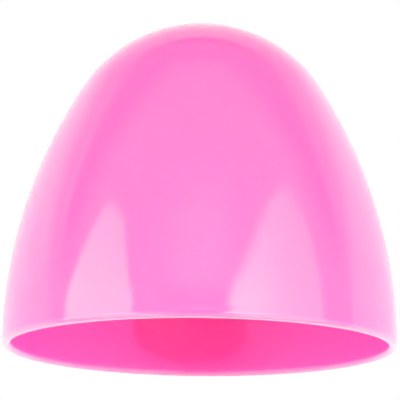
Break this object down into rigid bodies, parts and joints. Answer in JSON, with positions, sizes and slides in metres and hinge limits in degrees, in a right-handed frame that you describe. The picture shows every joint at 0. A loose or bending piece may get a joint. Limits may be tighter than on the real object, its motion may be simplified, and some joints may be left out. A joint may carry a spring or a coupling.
{
  "type": "silicone cupping cup",
  "caption": "Soft domed massage cup with a thin wall and a rounded open lip. Squeezed and let go against the skin, it springs back and holds by suction.",
  "frame": {"origin": "centre of the mouth, on the plane that the lip rests on", "axes": "+Z along the cup's axis, from the mouth to the top of the crown; X and Y are any two directions across the mouth"},
  "size_m": [0.07, 0.07, 0.0587],
  "materials": {
    "silicone": "glossy, slightly translucent"
  },
  "bodies": {
    "root": {"cup": "silicone"}
  },
  "joints": []
}
